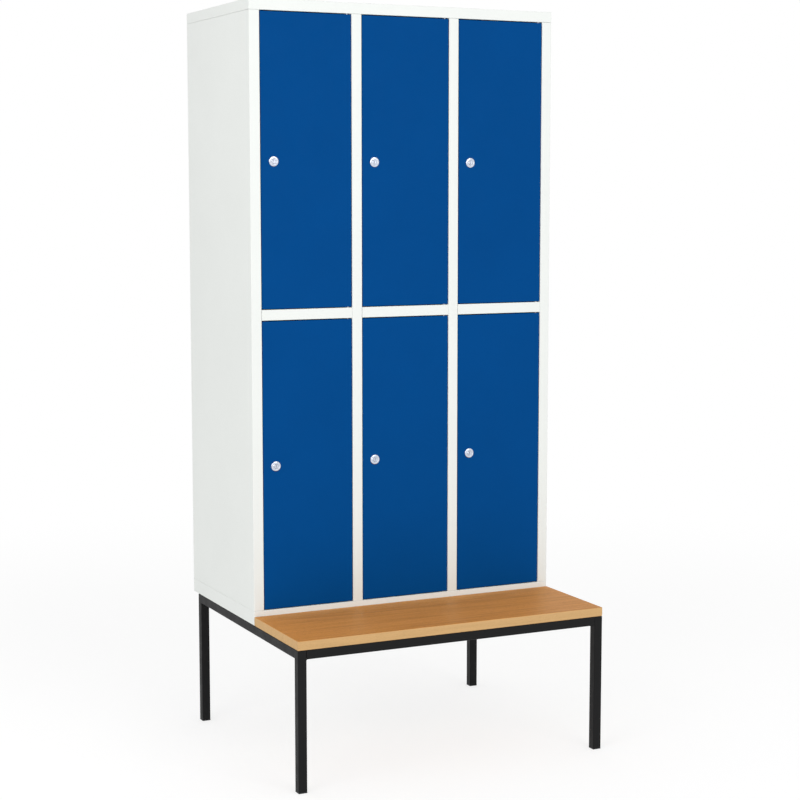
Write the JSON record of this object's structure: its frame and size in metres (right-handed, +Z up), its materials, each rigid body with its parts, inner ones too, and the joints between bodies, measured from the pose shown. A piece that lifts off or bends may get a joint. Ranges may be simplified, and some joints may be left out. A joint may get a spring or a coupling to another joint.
{
  "type": "locker with bench",
  "caption": "Steel clothes locker with inset doors in a folded front frame, standing on the rear of a square-tube bench frame whose front carries a wooden seat board.",
  "frame": {"origin": "on the floor, under the middle of the overall width and depth", "axes": "+X to the right of someone who faces the doors, -Y out of the front, where the seat is, +Z up"},
  "size_m": [0.93, 0.815, 2.0899],
  "materials": {
    "cabinet_white": "fine powder coat, near white",
    "door_blue": "fine powder coat, deep blue",
    "frame_black": "fine powder coat, black",
    "seat_wood": "brown wood-grain board with a lighter edge band",
    "lock_chrome": "bright plated",
    "plain_steel": "zinc-plated steel",
    "foot_plastic": "black moulded plastic"
  },
  "bodies": {
    "cabinet": {"base_pan": "cabinet_white", "top_pan": "cabinet_white", "side_panel_left": "cabinet_white", "side_panel_right": "cabinet_white", "partition_left": "cabinet_white", "partition_right": "cabinet_white", "back_panel": "cabinet_white", "tier_shelf_left": "cabinet_white", "tier_shelf_middle": "cabinet_white", "tier_shelf_right": "cabinet_white", "coat_rail_lower_left": "lock_chrome", "coat_rail_lower_middle": "lock_chrome", "coat_rail_lower_right": "lock_chrome", "coat_rail_upper_left": "lock_chrome", "coat_rail_upper_middle": "lock_chrome", "coat_rail_upper_right": "lock_chrome", "hinge_pin_bottom_left": "plain_steel", "hinge_pin_tier_left": "plain_steel", "hinge_pin_top_left": "plain_steel", "hinge_pin_bottom_middle": "plain_steel", "hinge_pin_tier_middle": "plain_steel", "hinge_pin_top_middle": "plain_steel", "hinge_pin_bottom_right": "plain_steel", "hinge_pin_tier_right": "plain_steel", "hinge_pin_top_right": "plain_steel", "side_frame_left": "frame_black", "side_frame_right": "frame_black", "front_rail": "frame_black", "middle_rail": "frame_black", "rear_rail": "frame_black", "seat_board": "seat_wood", "foot_front_left": "foot_plastic", "foot_front_right": "foot_plastic", "foot_rear_left": "foot_plastic", "foot_rear_right": "foot_plastic"},
    "door_lower_left": {"door_lower_left": "door_blue", "lock_body_lower_left": "lock_chrome"},
    "lock_lower_left": {"lock_plug_lower_left": "lock_chrome", "lock_cam_lower_left": "plain_steel"},
    "door_lower_middle": {"door_lower_middle": "door_blue", "lock_body_lower_middle": "lock_chrome"},
    "lock_lower_middle": {"lock_plug_lower_middle": "lock_chrome", "lock_cam_lower_middle": "plain_steel"},
    "door_lower_right": {"door_lower_right": "door_blue", "lock_body_lower_right": "lock_chrome"},
    "lock_lower_right": {"lock_plug_lower_right": "lock_chrome", "lock_cam_lower_right": "plain_steel"},
    "door_upper_left": {"door_upper_left": "door_blue", "lock_body_upper_left": "lock_chrome"},
    "lock_upper_left": {"lock_plug_upper_left": "lock_chrome", "lock_cam_upper_left": "plain_steel"},
    "door_upper_middle": {"door_upper_middle": "door_blue", "lock_body_upper_middle": "lock_chrome"},
    "lock_upper_middle": {"lock_plug_upper_middle": "lock_chrome", "lock_cam_upper_middle": "plain_steel"},
    "door_upper_right": {"door_upper_right": "door_blue", "lock_body_upper_right": "lock_chrome"},
    "lock_upper_right": {"lock_plug_upper_right": "lock_chrome", "lock_cam_upper_right": "plain_steel"}
  },
  "joints": [
    {"name": "hinge_lower_left", "type": "hinge", "parent": "cabinet", "child": "door_lower_left", "pos_m": [-0.177, -0.0865, 0.4273], "axis": [0, 0, 1], "range_deg": [0, 110]},
    {"name": "lock_turn_lower_left", "type": "hinge", "parent": "door_lower_left", "child": "lock_lower_left", "pos_m": [-0.397, -0.0925, 0.8263], "axis": [0, -1, 0], "range_deg": [0, 90]},
    {"name": "hinge_lower_middle", "type": "hinge", "parent": "cabinet", "child": "door_lower_middle", "pos_m": [0.123, -0.0865, 0.4273], "axis": [0, 0, 1], "range_deg": [0, 110]},
    {"name": "lock_turn_lower_middle", "type": "hinge", "parent": "door_lower_middle", "child": "lock_lower_middle", "pos_m": [-0.097, -0.0925, 0.8263], "axis": [0, -1, 0], "range_deg": [0, 90]},
    {"name": "hinge_lower_right", "type": "hinge", "parent": "cabinet", "child": "door_lower_right", "pos_m": [0.423, -0.0865, 0.4273], "axis": [0, 0, 1], "range_deg": [0, 110]},
    {"name": "lock_turn_lower_right", "type": "hinge", "parent": "door_lower_right", "child": "lock_lower_right", "pos_m": [0.203, -0.0925, 0.8263], "axis": [0, -1, 0], "range_deg": [0, 90]},
    {"name": "hinge_upper_left", "type": "hinge", "parent": "cabinet", "child": "door_upper_left", "pos_m": [-0.177, -0.0865, 1.2593], "axis": [0, 0, 1], "range_deg": [0, 110]},
    {"name": "lock_turn_upper_left", "type": "hinge", "parent": "door_upper_left", "child": "lock_upper_left", "pos_m": [-0.397, -0.0925, 1.6583], "axis": [0, -1, 0], "range_deg": [0, 90]},
    {"name": "hinge_upper_middle", "type": "hinge", "parent": "cabinet", "child": "door_upper_middle", "pos_m": [0.123, -0.0865, 1.2593], "axis": [0, 0, 1], "range_deg": [0, 110]},
    {"name": "lock_turn_upper_middle", "type": "hinge", "parent": "door_upper_middle", "child": "lock_upper_middle", "pos_m": [-0.097, -0.0925, 1.6583], "axis": [0, -1, 0], "range_deg": [0, 90]},
    {"name": "hinge_upper_right", "type": "hinge", "parent": "cabinet", "child": "door_upper_right", "pos_m": [0.423, -0.0865, 1.2593], "axis": [0, 0, 1], "range_deg": [0, 110]},
    {"name": "lock_turn_upper_right", "type": "hinge", "parent": "door_upper_right", "child": "lock_upper_right", "pos_m": [0.203, -0.0925, 1.6583], "axis": [0, -1, 0], "range_deg": [0, 90]}
  ]
}
